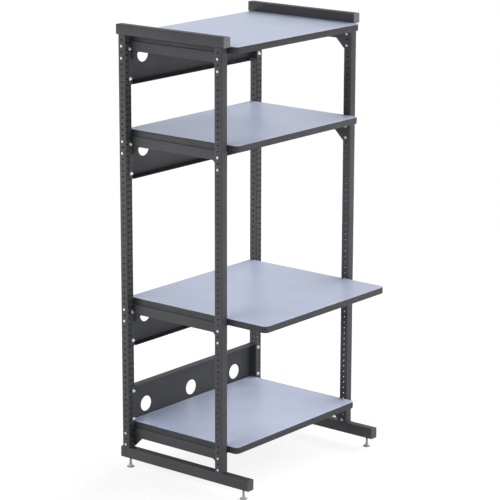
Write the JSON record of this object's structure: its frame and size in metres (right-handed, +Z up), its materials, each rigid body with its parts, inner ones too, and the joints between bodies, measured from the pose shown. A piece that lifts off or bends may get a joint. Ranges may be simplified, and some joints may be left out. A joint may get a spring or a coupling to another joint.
{
  "type": "server rack",
  "caption": "Open four-post server rack of drilled square tube with bracketed laminate shelves, rear cable panels and levelling feet.",
  "frame": {"origin": "on the floor, under the middle of the rack's outer box", "axes": "+Z up, front towards -Y, the rack's left side (facing it) towards -X"},
  "size_m": [0.9144, 0.7774, 1.949],
  "materials": {
    "frame_paint": "satin charcoal powder coat",
    "cap_plastic": "moulded",
    "plug_plastic": "moulded",
    "laminate": "pale blue-grey laminate on board",
    "edge_band": "extruded edging",
    "zinc": "bright zinc plate"
  },
  "bodies": {
    "rack": {"base_rail_left": "frame_paint", "base_rail_right": "frame_paint", "base_cap_front_left": "cap_plastic", "base_cap_front_right": "cap_plastic", "base_cap_rear_left": "cap_plastic", "base_cap_rear_right": "cap_plastic", "base_plug_front_left": "plug_plastic", "base_plug_front_right": "plug_plastic", "base_plug_rear_left": "plug_plastic", "base_plug_rear_right": "plug_plastic", "top_rail_left": "frame_paint", "top_rail_right": "frame_paint", "top_cap_front_left": "cap_plastic", "top_cap_front_right": "cap_plastic", "top_cap_rear_left": "cap_plastic", "top_cap_rear_right": "cap_plastic", "top_plug_front_left": "plug_plastic", "top_plug_front_right": "plug_plastic", "top_plug_rear_left": "plug_plastic", "top_plug_rear_right": "plug_plastic", "post_front_left": "frame_paint", "post_front_right": "frame_paint", "post_rear_left": "frame_paint", "post_rear_right": "frame_paint", "shelf_bottom": "laminate", "shelf_bottom_edge": "edge_band", "bracket_bottom_left": "frame_paint", "bracket_bottom_right": "frame_paint", "rear_panel_bottom": "frame_paint", "shelf_work": "laminate", "shelf_work_edge": "edge_band", "bracket_work_left": "frame_paint", "bracket_work_right": "frame_paint", "rear_panel_work": "frame_paint", "shelf_upper": "laminate", "shelf_upper_edge": "edge_band", "bracket_upper_left": "frame_paint", "bracket_upper_right": "frame_paint", "rear_panel_upper": "frame_paint", "shelf_top": "laminate", "shelf_top_edge": "edge_band", "bracket_top_left": "frame_paint", "bracket_top_right": "frame_paint", "rear_panel_top": "frame_paint"},
    "foot_front_left": {"foot_pad_front_left": "zinc"},
    "stem_front_left": {"foot_stem_front_left": "zinc"},
    "foot_front_right": {"foot_pad_front_right": "zinc"},
    "stem_front_right": {"foot_stem_front_right": "zinc"},
    "foot_rear_left": {"foot_pad_rear_left": "zinc"},
    "stem_rear_left": {"foot_stem_rear_left": "zinc"},
    "foot_rear_right": {"foot_pad_rear_right": "zinc"},
    "stem_rear_right": {"foot_stem_rear_right": "zinc"}
  },
  "joints": [
    {"name": "foot_front_left_height", "type": "slide", "parent": "rack", "child": "foot_front_left", "axis": [0, 0, 1], "range_m": [-0.012, 0.02]},
    {"name": "foot_front_left_turn", "type": "hinge", "parent": "foot_front_left", "child": "stem_front_left", "pos_m": [-0.43815, -0.28885, 0.03], "axis": [0, 0, 1], "range_deg": [-2890, 4810]},
    {"name": "foot_front_right_height", "type": "slide", "parent": "rack", "child": "foot_front_right", "axis": [0, 0, 1], "range_m": [-0.012, 0.02]},
    {"name": "foot_front_right_turn", "type": "hinge", "parent": "foot_front_right", "child": "stem_front_right", "pos_m": [0.43815, -0.28885, 0.03], "axis": [0, 0, 1], "range_deg": [-2890, 4810]},
    {"name": "foot_rear_left_height", "type": "slide", "parent": "rack", "child": "foot_rear_left", "axis": [0, 0, 1], "range_m": [-0.012, 0.02]},
    {"name": "foot_rear_left_turn", "type": "hinge", "parent": "foot_rear_left", "child": "stem_rear_left", "pos_m": [-0.43815, 0.34825, 0.03], "axis": [0, 0, 1], "range_deg": [-2890, 4810]},
    {"name": "foot_rear_right_height", "type": "slide", "parent": "rack", "child": "foot_rear_right", "axis": [0, 0, 1], "range_m": [-0.012, 0.02]},
    {"name": "foot_rear_right_turn", "type": "hinge", "parent": "foot_rear_right", "child": "stem_rear_right", "pos_m": [0.43815, 0.34825, 0.03], "axis": [0, 0, 1], "range_deg": [-2890, 4810]}
  ],
  "couplings": [
    {"joint": "foot_front_left_turn", "follows": "foot_front_left_height", "rad_per_m": 4188.8},
    {"joint": "foot_front_right_turn", "follows": "foot_front_right_height", "rad_per_m": 4188.8},
    {"joint": "foot_rear_left_turn", "follows": "foot_rear_left_height", "rad_per_m": 4188.8},
    {"joint": "foot_rear_right_turn", "follows": "foot_rear_right_height", "rad_per_m": 4188.8}
  ]
}
